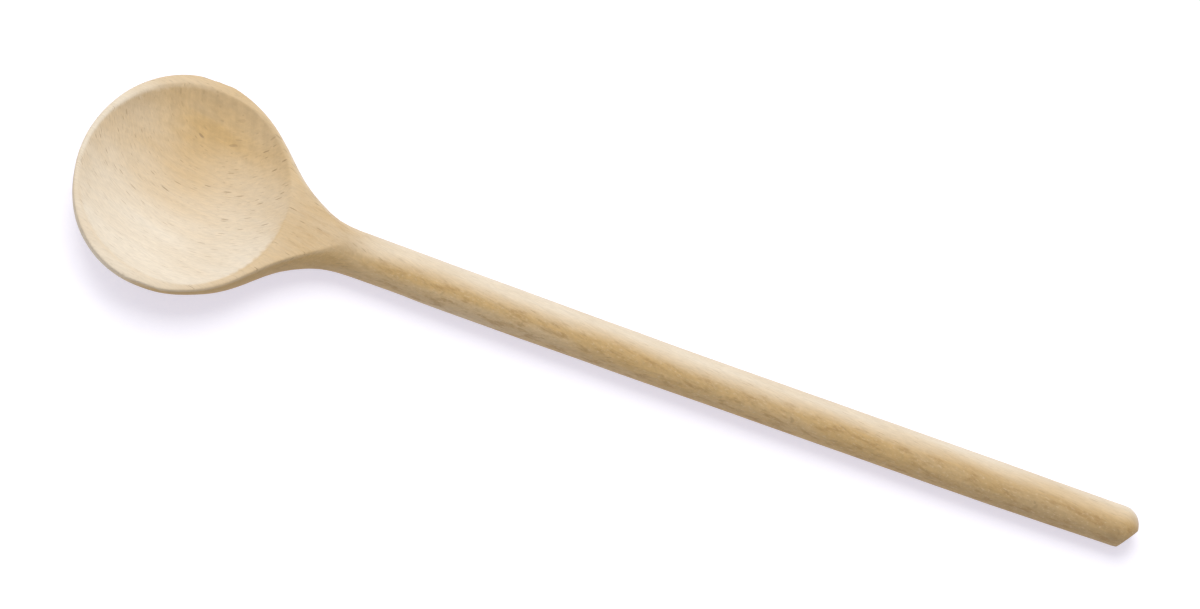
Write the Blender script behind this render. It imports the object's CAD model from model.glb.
import bpy
import bmesh
from math import cos, exp, hypot, radians, sin
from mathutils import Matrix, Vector, noise
from mathutils.kdtree import KDTree


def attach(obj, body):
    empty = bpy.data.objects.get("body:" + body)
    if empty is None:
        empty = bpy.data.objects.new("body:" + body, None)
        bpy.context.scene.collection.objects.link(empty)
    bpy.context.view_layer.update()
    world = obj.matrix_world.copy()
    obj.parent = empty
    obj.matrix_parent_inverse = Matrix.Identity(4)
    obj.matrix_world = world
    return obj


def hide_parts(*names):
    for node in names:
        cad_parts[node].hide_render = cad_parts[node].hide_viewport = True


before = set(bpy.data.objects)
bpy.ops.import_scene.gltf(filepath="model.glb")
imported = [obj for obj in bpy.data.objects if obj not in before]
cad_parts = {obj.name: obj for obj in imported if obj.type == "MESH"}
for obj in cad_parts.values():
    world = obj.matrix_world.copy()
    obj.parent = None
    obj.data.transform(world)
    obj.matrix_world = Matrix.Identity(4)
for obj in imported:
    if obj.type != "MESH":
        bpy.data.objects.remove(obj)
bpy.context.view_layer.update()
print("frame loaded")


def newObject(name, mesh):
    obj = bpy.data.objects.new(name, mesh)
    bpy.context.scene.collection.objects.link(obj)
    return obj


def smoothStep(low, high, value):
    share = min(max((value - low) / (high - low), 0.0), 1.0)
    return share * share * (3.0 - 2.0 * share)


# Camera: square to the handle, from high up, with a long lens

camera = {
    "lens": 210.0,
    "sensor": 36.0,
    "clip": (0.05, 50.0),
    "place": (0.13139, -0.71809, 1.72961),
    "turn": (21.872, -6.991, 18.177),
}


def makeCamera(spec):
    data = bpy.data.cameras.new("camera")
    data.sensor_fit = "HORIZONTAL"
    data.sensor_width = spec["sensor"]
    data.lens = spec["lens"]
    data.clip_start, data.clip_end = spec["clip"]
    obj = newObject("camera", data)
    obj.location = spec["place"]
    obj.rotation_euler = [radians(angle) for angle in spec["turn"]]
    bpy.context.scene.camera = obj


makeCamera(camera)
print("camera set")


# Studio: pale floor, white surroundings, one big soft lamp overhead and a little behind

studio = {
    "floorSize": 8.0,
    "floorColour": (0.86, 0.86, 0.87, 1.0),
    "floorSeen": (0.56, 0.56, 0.55, 1.0),  # as the camera sees it, with the lift on top
    "floorLift": 0.60,
    "liftColour": (0.97, 0.94, 1.09, 1.0),
    "surround": 0.32,
    "lampPlace": (-0.22, 1.00, 2.40),
    "lampAim": (0.10, 0.0, 0.0),
    "lampSize": 1.9,
    "lampPower": 54.5,
    "roughness": 0.9,
}


def whiteSurround(spec):
    world = bpy.data.worlds.new("surround")
    bpy.context.scene.world = world
    world.use_nodes = True
    nodes = world.node_tree.nodes
    links = world.node_tree.links
    back = nodes["Background"]
    back.inputs["Color"].default_value = (1.0, 1.0, 1.0, 1.0)
    seen = nodes.new("ShaderNodeLightPath")
    either = nodes.new("ShaderNodeMath")
    either.operation = "MAXIMUM"
    links.new(seen.outputs["Is Camera Ray"], either.inputs[0])
    links.new(seen.outputs["Is Glossy Ray"], either.inputs[1])
    level = nodes.new("ShaderNodeMapRange")
    level.inputs["To Min"].default_value = spec["surround"]
    level.inputs["To Max"].default_value = 1.0
    links.new(either.outputs[0], level.inputs["Value"])
    links.new(level.outputs["Result"], back.inputs["Strength"])


def paleFloor(spec):
    bm = bmesh.new()
    bmesh.ops.create_grid(bm, x_segments=1, y_segments=1, size=spec["floorSize"] / 2)
    mesh = bpy.data.meshes.new("floor")
    bm.to_mesh(mesh)
    bm.free()
    floor = newObject("floor", mesh)
    paint = bpy.data.materials.new("paleFloor")
    paint.use_nodes = True
    nodes = paint.node_tree.nodes
    links = paint.node_tree.links
    shader = nodes["Principled BSDF"]
    shader.inputs["Roughness"].default_value = spec["roughness"]
    shader.inputs["Specular IOR Level"].default_value = 0.0
    shader.inputs["Emission Color"].default_value = spec["liftColour"]
    seen = nodes.new("ShaderNodeLightPath")
    either = nodes.new("ShaderNodeMath")
    either.operation = "MAXIMUM"
    links.new(seen.outputs["Is Camera Ray"], either.inputs[0])
    links.new(seen.outputs["Is Glossy Ray"], either.inputs[1])
    seenColour = nodes.new("ShaderNodeMix")
    seenColour.data_type = "RGBA"
    seenColour.inputs[6].default_value = spec["floorColour"]
    seenColour.inputs[7].default_value = spec["floorSeen"]
    links.new(either.outputs[0], seenColour.inputs[0])
    links.new(seenColour.outputs[2], shader.inputs["Base Color"])
    lift = nodes.new("ShaderNodeMath")
    lift.operation = "MULTIPLY"
    lift.inputs[1].default_value = spec["floorLift"]
    links.new(either.outputs[0], lift.inputs[0])
    links.new(lift.outputs[0], shader.inputs["Emission Strength"])
    mesh.materials.append(paint)


def softLamp(spec):
    data = bpy.data.lights.new("softLamp", "AREA")
    data.shape = "SQUARE"
    data.size = spec["lampSize"]
    data.energy = spec["lampPower"]
    lamp = newObject("softLamp", data)
    lamp.location = spec["lampPlace"]
    aim = Vector(spec["lampAim"]) - lamp.location
    lamp.rotation_euler = aim.to_track_quat("-Z", "Y").to_euler()


whiteSurround(studio)
paleFloor(studio)
softLamp(studio)
bpy.context.scene.view_settings.view_transform = "Standard"
print("floor and light set")


# The spoon, skinned over its solid and worn by hand

spoon = {
    "sameSpot": 0.000001,  # closer vertices are merged
    "voxel": 0.00030,
    "faceShare": 0.38,  # kept after thinning
    "dishRadius": 0.02855,
    "topHeight": 0.0140,
    "topFall": 0.0143,
    "passes": 1,  # of smoothing
    "farIn": 0.0023,  # how far the far rim is worn in over the top, and down the side
    "farDown": 0.0005,
    "wallSteep": 0.45,  # the head's wall: its steepness, its band below the top, and where it ends
    "wallBand": (0.0006, 0.0035),
    "wallEnd": 0.048,
    "rimBand": 0.0025,
    "rimEnd": 0.055,
    "wornFrom": 0.022,  # how far to the far side the wear begins, and how much sooner behind the dish
    "wornSooner": 0.017,
    "soonerRange": (-0.015, 0.010),
    "wornEnd": (0.040, 0.050),
    "paleRise": 0.40,  # where the worn edge is also paler
    "paleAlong": (0.0, 0.030),
    "paleOut": 0.0015,
    "paleDown": (0.0004, 0.0024),
    "leans": [  # place, reach, how far towards the near side
        (0.024, 0.0098, 0.00056),
        (-0.014, 0.0072, -0.00027),
        (0.056, 0.0090, -0.00024),
    ],
    "swells": [  # place, reach, and how much fuller the near and the far side are
        (-0.015, 0.0080, 0.00070, 0.00005),
        (-0.008, 0.0060, 0.00015, 0.00026),
        (0.028, 0.0095, 0.00040, 0.00030),
    ],
    "rodRadius": 0.0058,
    "fuller": [  # from, to, and how much thicker the handle is past there, near side and far side
        (0.040, 0.054, 0.00025, 0.00020),
        (0.090, 0.140, 0.00015, 0.00000),
        (0.190, 0.232, 0.00030, 0.00018),
        (0.244, 0.262, -0.00015, 0.00000),
    ],
    "endCentre": (0.26488, 0.0, 0.00542),  # of the domed end, and the flat sanded on it
    "flatTurn": 33.0,
    "flatDip": 12.0,
    "flatAway": 0.0042,
    "halfWidth": 0.03104,
    "blunt": 0.00022,  # off the tip
    "bluntRange": (-0.022, -0.0297),
    "bow": 0.00038,  # middle of the handle towards the near side
    "bowPlace": 0.158,
    "bowReach": 0.112,
    "uneven": 0.00012,
    "unevenScale": 70.0,  # per metre
}


def skinOver(node, spec):
    bm = bmesh.new()
    bm.from_mesh(node.data)
    bmesh.ops.remove_doubles(bm, verts=bm.verts, dist=spec["sameSpot"])
    mesh = bpy.data.meshes.new("turnedSpoon")
    bm.to_mesh(mesh)
    bm.free()
    obj = newObject("turnedSpoon", mesh)
    remesh = obj.modifiers.new("evenSkin", "REMESH")
    remesh.mode = "VOXEL"
    remesh.voxel_size = spec["voxel"]
    remesh.use_smooth_shade = True
    thin = obj.modifiers.new("thinned", "DECIMATE")
    thin.ratio = spec["faceShare"]
    skin = bpy.data.meshes.new_from_object(obj.evaluated_get(bpy.context.evaluated_depsgraph_get()))
    obj.modifiers.clear()
    obj.data = skin
    return obj


def topAt(x, spec):
    return spec["topHeight"] - x * spec["topFall"]


def onWall(v, spec):
    high, low = spec["wallBand"]
    upright = abs(v.normal.z) < spec["wallSteep"] and high < topAt(v.co.x, spec) - v.co.z < low
    return upright and v.co.x < spec["wallEnd"] and hypot(v.co.x, v.co.y) > spec["dishRadius"]


def softenFarRim(bm, spec):
    bm.normal_update()
    wall = [v.co for v in bm.verts if onWall(v, spec)]
    tree = KDTree(len(wall))
    for index, co in enumerate(wall):
        tree.insert((co.x, co.y, 0.0), index)
    tree.balance()
    wornLayer = bm.verts.layers.float.new("worn")
    for v in bm.verts:
        x, y = v.co.x, v.co.y
        top = topAt(x, spec)
        if y < 0.0 or x > spec["rimEnd"] or v.co.z < top - spec["rimBand"]:
            continue
        near, index, away = tree.find((x, y, 0.0))
        starts = spec["wornFrom"] - spec["wornSooner"] * smoothStep(*spec["soonerRange"], x)
        worn = smoothStep(0.0, starts, near.y) * (1.0 - smoothStep(*spec["wornEnd"], x))
        rise = 1.0 - away / spec["farIn"]
        if rise > 0.0 and worn > 0.0:
            drop = spec["farDown"] * (1.0 - (1.0 - min(rise, 0.995) ** 2) ** 0.5)
            v.co.z = min(v.co.z, top - drop * worn)
            outside = smoothStep(spec["dishRadius"], spec["dishRadius"] + spec["paleOut"], hypot(x, y))
            fading = 1.0 - smoothStep(*spec["paleDown"], top - v.co.z)
            alongRim = smoothStep(*spec["paleAlong"], x)
            v[wornLayer] = smoothStep(spec["paleRise"], 1.0, rise) * worn * alongRim * outside * fading


def sandEndFlat(bm, spec):
    turn, dip = radians(spec["flatTurn"]), radians(spec["flatDip"])
    facing = Vector((cos(turn) * cos(dip), -sin(turn) * cos(dip), -sin(dip)))
    for v in bm.verts:
        if v.co.x > spec["endCentre"][0] - spec["rodRadius"]:
            past = (v.co - Vector(spec["endCentre"])).dot(facing) - spec["flatAway"]
            v.co -= facing * max(past, 0.0)


def wearByHand(obj, spec):
    bm = bmesh.new()
    bm.from_mesh(obj.data)
    for _ in range(spec["passes"]):
        bmesh.ops.smooth_vert(bm, verts=bm.verts, factor=0.5, use_axis_x=True, use_axis_y=True, use_axis_z=True)
    softenFarRim(bm, spec)
    for v in bm.verts:
        x = v.co.x
        lean = sum(amount * exp(-((x - place) / reach) ** 2 / 2) for place, reach, amount in spec["leans"])
        bow = max(0.0, 1.0 - ((x - spec["bowPlace"]) / spec["bowReach"]) ** 2)
        side = 2 if v.co.y < 0.0 else 3
        swell = sum(row[side] * exp(-((x - row[0]) / row[1]) ** 2 / 2) for row in spec["swells"])
        fuller = sum(row[side] * smoothStep(row[0], row[1], x) for row in spec["fuller"])
        fuller *= min(max(v.co.y / spec["rodRadius"], -1.0), 1.0)
        v.co.y += swell * v.co.y / spec["halfWidth"] + fuller - lean - spec["bow"] * bow
        v.co.y = min(max(v.co.y, -spec["halfWidth"]), spec["halfWidth"])
        v.co.x += spec["blunt"] * smoothStep(*spec["bluntRange"], x)
    sandEndFlat(bm, spec)
    bm.normal_update()
    worn = [(noise.noise(v.co * spec["unevenScale"]) - 1.0) / 2 for v in bm.verts]
    for v, share in zip(bm.verts, worn):
        v.co += v.normal * spec["uneven"] * share
    bm.to_mesh(obj.data)
    bm.free()


body = skinOver(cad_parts["spoon"], spoon)
wearByHand(body, spoon)
for face in body.data.polygons:
    face.use_smooth = True
print("spoon skinned:", len(body.data.polygons), "faces")


# Beech, as a solid block: every pattern reads the place in the wood, in metres

beech = {
    "pith": (0.0, 0.0, 0.007),  # the grain's line through the head
    "headTurn": -27.0,  # degrees by which the rays stand off level, about the grain
    "handleTurn": -40.0,
    "turnRange": (0.030, 0.090),
    "grainSlope": 8.0,
    "wanderSize": (0.030, 0.012, 0.012),  # every size is along the grain, out from the pith, and round it
    "wander": (0.0006, 0.0012, 0.0012),
    "paleWood": (0.865, 0.760, 0.615, 1.0),
    "warmWood": (0.655, 0.440, 0.195, 1.0),
    "fleckWood": (0.330, 0.215, 0.110, 1.0),
    "smudgeWood": (0.400, 0.270, 0.130, 1.0),
    "tornWood": (0.400, 0.225, 0.075, 1.0),
    "speckWood": (0.830, 0.660, 0.440, 1.0),
    "mottleSize": (0.045, 0.009, 0.007),
    "mottleRange": (0.030, 0.060),
    "headMottle": 0.11,
    "handleMottle": 0.15,
    "ringSpacing": 0.0026,
    "ringDepth": 0.03,
    "ringRise": (0.25, 0.92),  # a ring darkens slowly and ends sharply
    "ringFall": (0.94, 1.0),
    "driftSize": (0.060, 0.012, 0.020),  # of the rings' slow waver
    "ringWaver": 0.8,
    "ringDrift": 2.5,
    "fuzzSize": (0.0022, 0.0016, 0.00022),
    "fuzzDepth": 0.08,
    "scrapeTurn": -18.0,
    "scrapeSize": (0.0017, 0.016, 0.016),
    "scrapeDepth": 0.06,
    "fleckReach": 0.34,  # of a fleck, as a share of its cell
    "fleckLeast": 0.55,
    "fleckCore": 0.55,
    "longSize": (0.0046, 0.0036, 0.00026),
    "longAmount": 0.50,
    "longDepth": (0.12, 0.58),
    "smallSize": (0.0021, 0.0017, 0.00018),
    "smallAmount": 0.34,
    "smallDepth": 0.20,
    "fleckOnPale": (0.45, 1.0, 1.30, 0.60),  # flecks are fainter where the wood is pale
    "fleckAlong": (0.034, 0.050),
    "handleFlecks": 0.55,
    "tornSize": (0.0056, 0.0015, 0.0013),
    "tornRange": (0.47, 0.68),
    "tornDepth": 0.54,
    "speckSize": (0.0011, 0.0005, 0.00042),
    "speckRange": (0.54, 0.72),
    "speckDepth": 0.34,
    "roughness": 0.58,
    "roughFuzz": 0.08,
    "specular": 0.45,
    "bump": 0.35,
    "bumpDeep": 0.00012,
}


def add(tree, kind, inputs=None, **settings):
    node = tree.nodes.new(kind)
    for name, value in settings.items():
        setattr(node, name, value)
    for name, value in (inputs or {}).items():
        if isinstance(value, bpy.types.NodeSocket):
            tree.links.new(value, node.inputs[name])
        else:
            node.inputs[name].default_value = value
    return node


def calc(tree, operation, first, second=0.0, clamp=False):
    return add(tree, "ShaderNodeMath", {0: first, 1: second}, operation=operation, use_clamp=clamp).outputs[0]


def ramp(tree, value, low, high, toLow=0.0, toHigh=1.0):
    node = add(tree, "ShaderNodeMapRange", {"Value": value, "From Min": low, "From Max": high,
                                            "To Min": toLow, "To Max": toHigh})
    node.interpolation_type = "SMOOTHSTEP"
    return node.outputs["Result"]


def blendColour(tree, share, first, second, how="MIX"):
    node = add(tree, "ShaderNodeMix", data_type="RGBA", blend_type=how)
    for socket, value in zip((node.inputs[0], node.inputs[6], node.inputs[7]), (share, first, second)):
        if isinstance(value, bpy.types.NodeSocket):
            tree.links.new(value, socket)
        else:
            socket.default_value = value
    return node.outputs[2]


def stretched(tree, vector, size):
    node = add(tree, "ShaderNodeVectorMath", {0: vector, 1: [1 / part for part in size]}, operation="MULTIPLY")
    return node.outputs[0]


def grainNoise(tree, vector, size, detail, roughness):
    return add(tree, "ShaderNodeTexNoise", {"Vector": stretched(tree, vector, size), "Scale": 1.0,
                                            "Detail": detail, "Roughness": roughness}).outputs[0]


def shaded(tree, colour, shade):
    grey = add(tree, "ShaderNodeCombineColor", {0: shade, 1: shade, 2: shade}).outputs[0]
    return blendColour(tree, 1.0, colour, grey, "MULTIPLY")


def turnedAbout(tree, vector, centre, angle, axis):
    node = add(tree, "ShaderNodeVectorRotate", {"Vector": vector, "Center": centre, "Angle": angle}, rotation_type=axis)
    return node.outputs[0]


def paintedShare(tree, name):
    return add(tree, "ShaderNodeAttribute", attribute_name=name).outputs["Fac"]


def newGroup(name, inputs, outputs):
    tree = bpy.data.node_groups.new(name, "ShaderNodeTree")
    for way, sockets in (("INPUT", inputs), ("OUTPUT", outputs)):
        for label, kind in sockets.items():
            tree.interface.new_socket(name=label, in_out=way, socket_type=kind)
    return tree, tree.nodes.new("NodeGroupInput").outputs, tree.nodes.new("NodeGroupOutput").inputs


def rayFleckGroup(spec):
    tree, given, result = newGroup(
        "rayFlecks",
        {"Vector": "NodeSocketVector", "Size": "NodeSocketVector", "Amount": "NodeSocketFloat"},
        {"Mask": "NodeSocketFloat", "Tone": "NodeSocketFloat"})
    cell = add(tree, "ShaderNodeVectorMath", {0: given["Vector"], 1: given["Size"]}, operation="DIVIDE")
    spots = add(tree, "ShaderNodeTexVoronoi", {"Vector": cell.outputs[0], "Scale": 1.0, "Randomness": 1.0},
                voronoi_dimensions="3D", feature="F1")
    chance = add(tree, "ShaderNodeSeparateColor", {"Color": spots.outputs["Color"]})
    present = calc(tree, "LESS_THAN", chance.outputs[0], given["Amount"])
    reach = calc(tree, "MULTIPLY", spec["fleckReach"], ramp(tree, chance.outputs[1], 0.0, 1.0, spec["fleckLeast"], 1.0))
    edge = calc(tree, "DIVIDE", spots.outputs["Distance"], reach)
    body = ramp(tree, edge, spec["fleckCore"], 1.0, 1.0, 0.0)
    tree.links.new(calc(tree, "MULTIPLY", body, present), result["Mask"])
    tree.links.new(chance.outputs[2], result["Tone"])
    return tree


def growthRingGroup(spec):
    tree, given, result = newGroup(
        "growthRings",
        {"Vector": "NodeSocketVector", "Spacing": "NodeSocketFloat"},
        {"Ring": "NodeSocketFloat"})
    slow = grainNoise(tree, given["Vector"], spec["driftSize"], 2.0, 0.45)
    place = add(tree, "ShaderNodeSeparateXYZ", {"Vector": given["Vector"]})
    count = calc(tree, "DIVIDE", place.outputs[1], given["Spacing"])
    drift = calc(tree, "MULTIPLY", ramp(tree, slow, 0.0, 1.0, -1.0, 1.0), spec["ringWaver"])
    ring = calc(tree, "FRACT", calc(tree, "ADD", count, calc(tree, "MULTIPLY", drift, spec["ringDrift"])))
    rise = ramp(tree, ring, *spec["ringRise"])
    fall = ramp(tree, ring, *spec["ringFall"], 1.0, 0.0)
    tree.links.new(calc(tree, "MULTIPLY", rise, fall), result["Ring"])
    return tree


def fleckMask(tree, fleckTree, vector, size, amount):
    flecks = add(tree, "ShaderNodeGroup", node_tree=fleckTree)
    tree.links.new(vector, flecks.inputs["Vector"])
    flecks.inputs["Size"].default_value = size
    flecks.inputs["Amount"].default_value = amount
    return flecks.outputs


def beechWood(spec):
    wood = bpy.data.materials.new("beech")
    wood.use_nodes = True
    tree = wood.node_tree
    shader = tree.nodes["Principled BSDF"]
    shader.inputs["Specular IOR Level"].default_value = spec["specular"]

    # The place in the wood: along the grain, out from the heart, and round it
    place = add(tree, "ShaderNodeTexCoord").outputs["Object"]
    along = add(tree, "ShaderNodeSeparateXYZ", {"Vector": place}).outputs[0]
    turn = ramp(tree, along, *spec["turnRange"], radians(spec["headTurn"]), radians(spec["handleTurn"]))
    sloped = turnedAbout(tree, place, spec["pith"], radians(spec["grainSlope"]), "Z_AXIS")
    turned = turnedAbout(tree, sloped, spec["pith"], turn, "X_AXIS")
    wander = add(tree, "ShaderNodeTexNoise", {"Vector": stretched(tree, turned, spec["wanderSize"]),
                                              "Scale": 1.0, "Detail": 1.0}).outputs["Color"]
    shift = add(tree, "ShaderNodeVectorMath", {0: wander, 1: spec["wander"]}, operation="MULTIPLY").outputs[0]
    inWood = add(tree, "ShaderNodeVectorMath", {0: turned, 1: shift}, operation="ADD").outputs[0]

    # Colour: pale and warm stretches, rings, soft fibre streaks
    mottle = grainNoise(tree, inWood, spec["mottleSize"], 3.0, 0.55)
    pale = paintedShare(tree, "pale")
    reach = ramp(tree, along, *spec["mottleRange"], spec["headMottle"], spec["handleMottle"])
    patch = calc(tree, "MULTIPLY", ramp(tree, mottle, 0.25, 0.75, -1.0, 1.0), reach)
    paleShare = calc(tree, "ADD", pale, patch, clamp=True)
    colour = blendColour(tree, paleShare, spec["warmWood"], spec["paleWood"])
    rings = add(tree, "ShaderNodeGroup", node_tree=growthRingGroup(spec))
    tree.links.new(inWood, rings.inputs["Vector"])
    rings.inputs["Spacing"].default_value = spec["ringSpacing"]
    ringShade = calc(tree, "SUBTRACT", 1.0, calc(tree, "MULTIPLY", rings.outputs["Ring"], spec["ringDepth"]))
    fuzz = grainNoise(tree, inWood, spec["fuzzSize"], 3.0, 0.6)
    fuzzShade = ramp(tree, fuzz, 0.2, 0.8, 1.0 - spec["fuzzDepth"], 1.0 + spec["fuzzDepth"])
    colour = shaded(tree, colour, calc(tree, "MULTIPLY", ringShade, fuzzShade))

    # Marks of the scraper, down the dish's far wall
    scrapedPlace = turnedAbout(tree, place, (0.0, 0.0, 0.0), radians(spec["scrapeTurn"]), "Z_AXIS")
    marks = grainNoise(tree, scrapedPlace, spec["scrapeSize"], 3.0, 0.6)
    markShade = ramp(tree, marks, 0.25, 0.75, -spec["scrapeDepth"], spec["scrapeDepth"])
    markShade = calc(tree, "MULTIPLY", markShade, paintedShare(tree, "scraped"))
    colour = shaded(tree, colour, calc(tree, "ADD", 1.0, markShade))

    # Ray flecks: long dark dashes, and small ones between them
    fleckTree = rayFleckGroup(spec)
    longFlecks = fleckMask(tree, fleckTree, inWood, spec["longSize"], spec["longAmount"])
    smallFlecks = fleckMask(tree, fleckTree, inWood, spec["smallSize"], spec["smallAmount"])
    longShare = calc(tree, "MULTIPLY", longFlecks["Mask"],
                     ramp(tree, longFlecks["Tone"], 0.0, 1.0, *spec["longDepth"]))
    smallShare = calc(tree, "MULTIPLY", smallFlecks["Mask"], spec["smallDepth"])
    fleckShare = calc(tree, "MAXIMUM", longShare, smallShare)
    fleckShare = calc(tree, "MULTIPLY", fleckShare, ramp(tree, pale, *spec["fleckOnPale"]))
    onHead = ramp(tree, along, *spec["fleckAlong"], 1.0, spec["handleFlecks"])
    fleckShare = calc(tree, "MULTIPLY", fleckShare, onHead)
    colour = blendColour(tree, fleckShare, colour, spec["fleckWood"])
    uneven = ramp(tree, mottle, 0.2, 0.8, 0.5, 1.0)
    smudgeShare = calc(tree, "MULTIPLY", paintedShare(tree, "smudge"), uneven, clamp=True)
    colour = blendColour(tree, smudgeShare, colour, spec["smudgeWood"])

    # The handle's near side: dark streaks and pale specks, where the grain was torn
    coarse = paintedShare(tree, "coarse")
    tornNoise = grainNoise(tree, inWood, spec["tornSize"], 4.0, 0.68)
    torn = calc(tree, "MULTIPLY", ramp(tree, tornNoise, *spec["tornRange"], 0.0, spec["tornDepth"]), coarse)
    colour = blendColour(tree, torn, colour, spec["tornWood"])
    speckNoise = grainNoise(tree, inWood, spec["speckSize"], 2.0, 0.6)
    specks = calc(tree, "MULTIPLY", ramp(tree, speckNoise, *spec["speckRange"], 0.0, spec["speckDepth"]), coarse)
    colour = blendColour(tree, specks, colour, spec["speckWood"])
    tree.links.new(colour, shader.inputs["Base Color"])

    # Bare, sanded surface: fuzz stands up a little, flecks lie a little low
    roughFuzz = ramp(tree, fuzz, 0.2, 0.8, -spec["roughFuzz"], spec["roughFuzz"])
    tree.links.new(calc(tree, "ADD", spec["roughness"], roughFuzz), shader.inputs["Roughness"])
    height = calc(tree, "SUBTRACT", calc(tree, "MULTIPLY", fuzz, 0.8), fleckShare)
    bump = add(tree, "ShaderNodeBump", {"Height": height, "Strength": spec["bump"], "Distance": spec["bumpDeep"]})
    tree.links.new(bump.outputs[0], shader.inputs["Normal"])
    return wood


# Tints by place: the dish is scraped pale towards the near side, the handle is paler along the far side
tints = {
    "bare": 0.22,
    "facesUp": (0.3, 0.6),  # of the normal's height: only what faces up is in the dish
    "wall": 0.00,  # the head's side and back, on the near side, and how much paler on the far side
    "wallFar": 0.36,
    "wallFarRange": (-0.012, 0.020),
    "wallTip": 0.78,  # and towards the tip
    "wallTipRange": (0.004, -0.014),
    "wornPale": 0.42,  # along the worn far edge
    "rimFrom": 0.031,  # the rim's top grows as pale as the dish towards the tip's near side
    "rimTo": -0.030,
    "rimAslant": 0.60,
    "rimPale": 0.77,
    "wallTop": 0.0004,  # below the top, where the bare side begins
    "wallDown": 0.0009,
    "dishEdge": 0.02835,
    "dishBlur": 0.0008,
    "shadeBlur": 0.0006,
    "scraped": 0.0011,  # the dish's tints go on over the rim here
    "scrapedNear": 0.010,
    "scrapedFar": 0.016,
    "scrapedReach": 0.008,
    "dishPale": 1.0,  # at the near wall, falling to the bare tint at the far one
    "dishFrom": -0.020,
    "dishTo": 0.014,
    "scrapedFrom": 0.006,
    "scrapedTo": 0.022,
    "handlePale": 0.48,  # along the top of the handle
    "handleSlope": 165.0,  # per metre across it
    "handleMost": 0.80,
    "handleStart": (0.038, 0.066),
    "handleFade": 0.30,  # less pale at the end
    "fadeRange": (0.16, 0.25),
    "underPale": 0.25,  # low on the handle's near side, where it is less worn
    "underRange": (-0.0030, -0.0052),
    "underEnd": (0.09, 0.16),
    "endShade": 0.42,  # grime from the hand, on the near side of the end
    "endRange": (0.195, 0.245),
    "farShade": 0.34,  # dust and shade under the dish's far edge
    "farShadeReach": 0.009,
    "nearShade": 0.20,  # on the head's near side, by the shoulder
    "nearDown": (0.0003, 0.0010),
    "nearAcross": (-0.008, -0.014),
    "nearAlong": (-0.004, 0.010),
    "nearBlur": 0.0004,
    "coarseAcross": (0.0008, -0.0026),  # the handle's near side is rougher
    "coarseAlong": (0.044, 0.062),
    "shoulderCoarse": 0.45,
    "shoulderStart": (0.028, 0.033),
    "shoulderEnd": (0.046, 0.060),
    "spotReach": 3.0,  # spots end this many reaches away
    "paleSpots": [  # place, reach, amount
        ((-0.001, 0.004, 0.007), 0.006, -0.12),
        ((-0.004, 0.013, 0.009), 0.006, -0.12),
        ((0.004, 0.020, 0.011), 0.006, -0.14),
        ((-0.020, 0.007, 0.011), 0.008, 0.22),
        ((0.012, -0.016, 0.010), 0.007, -0.08),
        ((0.023, 0.002, 0.010), 0.007, 0.22),
        ((0.052, 0.001, 0.0125), 0.008, 0.16),
        ((0.034, 0.003, 0.013), 0.010, -0.14),
    ],
    "smudgeSpots": [
        ((0.0465, -0.001, 0.0128), 0.0032, 0.40),
        ((0.2640, -0.0035, 0.0080), 0.0014, 0.60),
        ((0.0400, -0.0070, 0.0060), 0.0060, 0.16),
        ((0.0340, 0.0030, 0.0135), 0.0060, 0.14),
        ((0.0230, 0.0020, 0.0100), 0.0070, 0.11),
        ((0.0120, -0.0160, 0.0100), 0.0080, 0.07),
    ],
}


def tintEdge(co, spec):
    place = spec["scrapedNear"] if co.y < 0.0 else spec["scrapedFar"]
    return spec["dishEdge"] + spec["scraped"] * exp(-((co.x - place) / spec["scrapedReach"]) ** 2 / 2)


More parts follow.
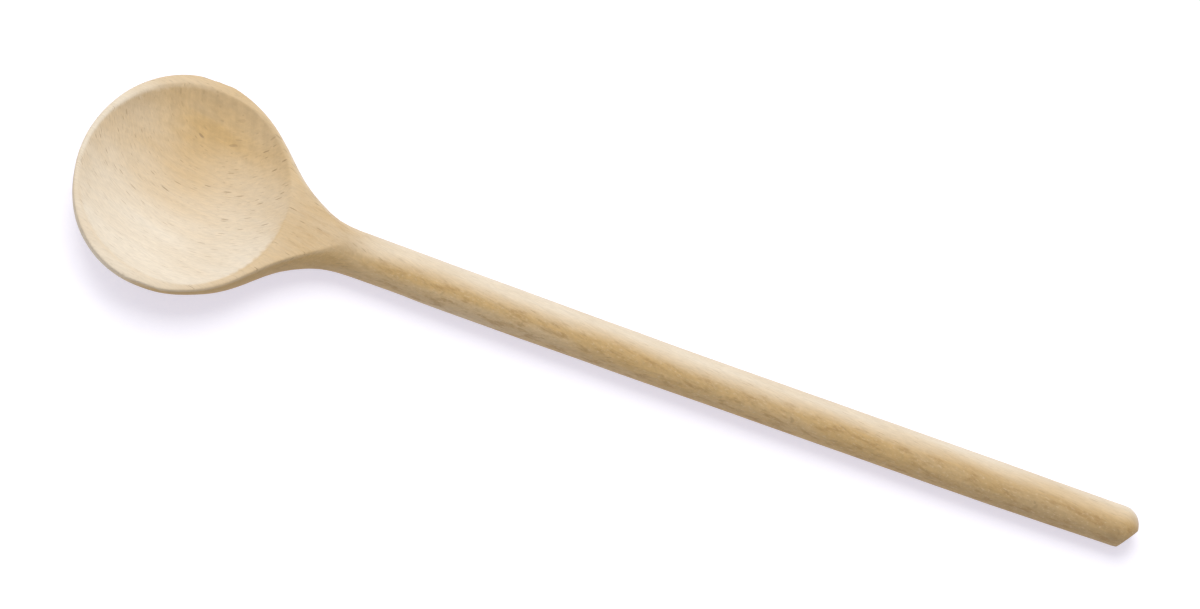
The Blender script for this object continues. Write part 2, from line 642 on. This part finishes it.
def paleAt(co, facesUp, spec):
    edge = tintEdge(co, spec)
    inDish = smoothStep(edge, edge - spec["dishBlur"], hypot(co.x, co.y)) * facesUp
    down = topAt(co.x, spoon) - co.z
    dishFall = smoothStep(spec["dishFrom"], spec["dishTo"], co.y)
    dishShare = spec["dishPale"] + (spec["bare"] - spec["dishPale"]) * dishFall
    rimFall = smoothStep(spec["rimTo"], spec["rimFrom"], co.x + spec["rimAslant"] * co.y)
    rimShare = spec["rimPale"] - (spec["rimPale"] - spec["bare"]) * rimFall
    wallShare = spec["wall"] + spec["wallFar"] * smoothStep(*spec["wallFarRange"], co.y)
    wallShare = max(wallShare, spec["wallTip"] * smoothStep(*spec["wallTipRange"], co.x))
    onTop = 1.0 - smoothStep(0.0, spec["wallDown"], down - spec["wallTop"])
    outside = wallShare + (rimShare - wallShare) * onTop
    share = outside + (dishShare - outside) * inDish
    handleShare = spec["handlePale"] + spec["handleSlope"] * co.y
    handleShare -= spec["handleFade"] * smoothStep(*spec["fadeRange"], co.x)
    handleShare = min(max(handleShare, 0.0), spec["handleMost"])
    under = smoothStep(*spec["underRange"], co.y) * (1.0 - smoothStep(*spec["underEnd"], co.x))
    handleShare += spec["underPale"] * under
    share += (handleShare - share) * smoothStep(*spec["handleStart"], co.x)
    return share + spotSum(co, spec["paleSpots"], spec)


def paintTints(obj, spec):
    names = ("pale", "smudge", "scraped", "coarse")
    for name in names:
        obj.data.attributes.new(name, "FLOAT", "POINT")
    pale, smudge, scraped, coarse = [obj.data.attributes[name] for name in names]
    worn = obj.data.attributes["worn"]
    for v in obj.data.vertices:
        x, y = v.co.x, v.co.y
        facesUp = smoothStep(*spec["facesUp"], v.normal.z)
        out = hypot(x, y)
        edge = tintEdge(v.co, spec)
        down = topAt(x, spoon) - v.co.z
        farShare = smoothStep(spec["scrapedFrom"], spec["scrapedTo"], y) * facesUp
        farShare *= smoothStep(edge, edge - spec["shadeBlur"], out)
        underEdge = smoothStep(edge - spec["farShadeReach"], edge, out)
        nearWall = smoothStep(*spec["nearDown"], down) * smoothStep(*spec["nearAcross"], y)
        nearWall *= smoothStep(*spec["nearAlong"], x)
        nearWall *= smoothStep(edge - spec["nearBlur"], edge + spec["nearBlur"], out)
        nearSide = smoothStep(*spec["coarseAcross"], y)
        onShoulder = smoothStep(*spec["shoulderStart"], x) * (1.0 - smoothStep(*spec["shoulderEnd"], x))
        shade = spec["farShade"] * underEdge * farShare + spec["nearShade"] * nearWall
        shade += spec["endShade"] * nearSide * smoothStep(*spec["endRange"], x)
        pale.data[v.index].value = paleAt(v.co, facesUp, spec) + spec["wornPale"] * worn.data[v.index].value
        smudge.data[v.index].value = spotSum(v.co, spec["smudgeSpots"], spec) + shade
        scraped.data[v.index].value = farShare
        onHandle = nearSide * smoothStep(*spec["coarseAlong"], x)
        coarse.data[v.index].value = max(onHandle, spec["shoulderCoarse"] * onShoulder)


def spotSum(co, spots, spec):
    total = 0.0
    for place, reach, amount in spots:
        away = (co - Vector(place)).length / reach
        if away < spec["spotReach"]:
            total += amount * exp(-away * away / 2)
    return total


paintTints(body, tints)
body.data.materials.clear()
body.data.materials.append(beechWood(beech))
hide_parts("spoon")
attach(body, "root")
print("beech on")
